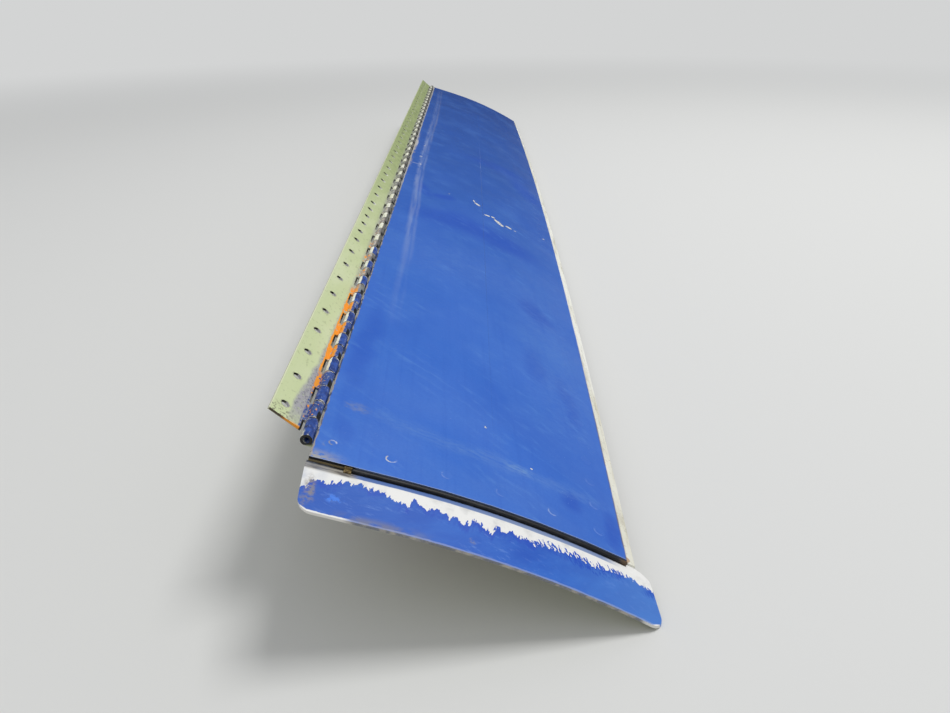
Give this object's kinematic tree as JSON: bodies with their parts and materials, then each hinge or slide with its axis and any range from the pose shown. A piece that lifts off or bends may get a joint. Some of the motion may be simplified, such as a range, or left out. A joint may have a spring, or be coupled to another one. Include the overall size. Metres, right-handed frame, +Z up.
{
  "type": "landing gear door",
  "caption": "Long narrow landing gear door: curved riveted double skin with a piano hinge along one edge, a sloping end flange and link lugs.",
  "frame": {"origin": "middle of the footprint box, on the surface the door lies on", "axes": "+Y along the hinge, from the flanged near end to the far end; +X from the hinge to the free edge; +Z up, the convex outer skin uppermost"},
  "size_m": [0.1404, 1.0216, 0.0691],
  "materials": {
    "outer_paint": "worn gloss blue",
    "flange_paint": "brushed blue over white",
    "cream_primer": "satin",
    "green_primer": "satin, worn",
    "knuckle_paint": "worn, overpainted",
    "link_primer": "satin",
    "rivet_paint": "worn gloss blue",
    "bare_rivet": "satin",
    "pin_steel": "satin",
    "bush_steel": "satin",
    "seal_rubber": "matt",
    "clip_metal": "satin"
  },
  "bodies": {
    "door": {"outer_skin": "outer_paint", "inner_skin": "cream_primer", "end_flange": "flange_paint", "end_seal": "seal_rubber", "seal_clip": "clip_metal", "door_hinge_leaf": "knuckle_paint", "hinge_pin": "pin_steel", "near_link_angle_left": "link_primer", "near_link_angle_right": "link_primer", "far_link_angle_left": "link_primer", "far_link_angle_right": "link_primer", "link_bushes": "bush_steel", "near_end_rivets": "rivet_paint", "far_end_rivets": "rivet_paint", "hinge_row_rivets": "rivet_paint", "free_edge_rivets": "rivet_paint", "link_angle_rivets": "rivet_paint"},
    "frame_leaf": {"frame_hinge_leaf": "green_primer"}
  },
  "joints": [
    {"name": "hinge", "type": "hinge", "parent": "door", "child": "frame_leaf", "pos_m": [-0.05649, 0, 0.05893], "axis": [0, 1, 0], "range_deg": [-120, 150]}
  ]
}
